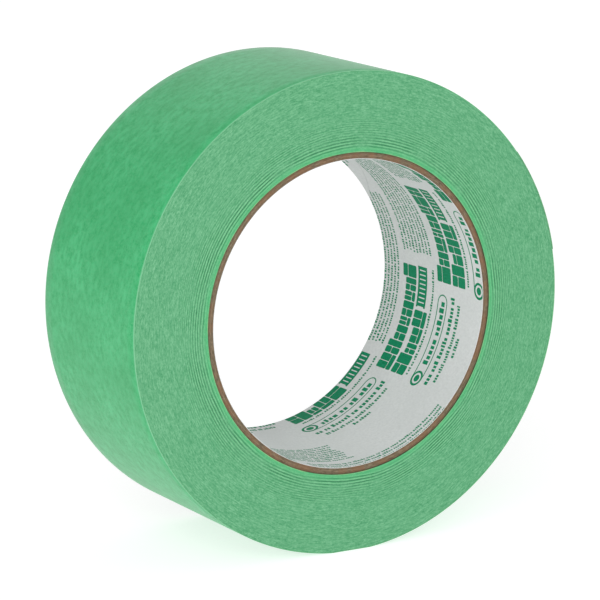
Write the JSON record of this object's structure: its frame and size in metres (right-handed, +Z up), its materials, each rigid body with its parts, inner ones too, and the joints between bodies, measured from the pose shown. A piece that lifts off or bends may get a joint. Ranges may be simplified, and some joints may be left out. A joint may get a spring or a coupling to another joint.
{
  "type": "masking tape roll",
  "caption": "Roll of green crepe paper masking tape on a paper core with a printed liner, its free end peeling outwards.",
  "frame": {"origin": "centre of the bore, midway between the roll's two side faces", "axes": "+Y along the roll's axis, from the front side face to the back one; +Z up as the roll stands on its rim; the tape's free end lies towards +X"},
  "size_m": [0.1192, 0.047, 0.1189],
  "materials": {
    "crepe_backing": "matte",
    "tape_edge": "matte",
    "adhesive": "satin",
    "kraft_board": "matte",
    "liner_paper": "satin"
  },
  "bodies": {
    "roll": {"core_liner": "liner_paper", "core_inner_ply": "kraft_board", "core_middle_ply": "kraft_board", "core_outer_ply": "kraft_board", "tape_wound_body": "tape_edge", "tape_last_turn_adhesive": "adhesive", "tape_last_turn_backing": "crepe_backing"},
    "tape_end_1": {"tape_end_1_backing": "crepe_backing", "tape_end_1_adhesive": "adhesive"},
    "tape_end_2": {"tape_end_2_backing": "crepe_backing", "tape_end_2_adhesive": "adhesive"},
    "tape_end_3": {"tape_end_3_backing": "crepe_backing", "tape_end_3_adhesive": "adhesive"}
  },
  "joints": [
    {"name": "tape_end_peel", "type": "hinge", "parent": "roll", "child": "tape_end_1", "pos_m": [0.04765, 0, 0.03602], "axis": [0, -1, 0], "range_deg": [0, 50]},
    {"name": "tape_end_curl_1", "type": "hinge", "parent": "tape_end_1", "child": "tape_end_2", "pos_m": [0.05272, 0, 0.02809], "axis": [0, -1, 0], "range_deg": [0, 50]},
    {"name": "tape_end_curl_2", "type": "hinge", "parent": "tape_end_2", "child": "tape_end_3", "pos_m": [0.05648, 0, 0.01946], "axis": [0, -1, 0], "range_deg": [0, 50]}
  ],
  "couplings": [
    {"joint": "tape_end_curl_1", "follows": "tape_end_peel", "ratio": 1},
    {"joint": "tape_end_curl_2", "follows": "tape_end_peel", "ratio": 1}
  ]
}
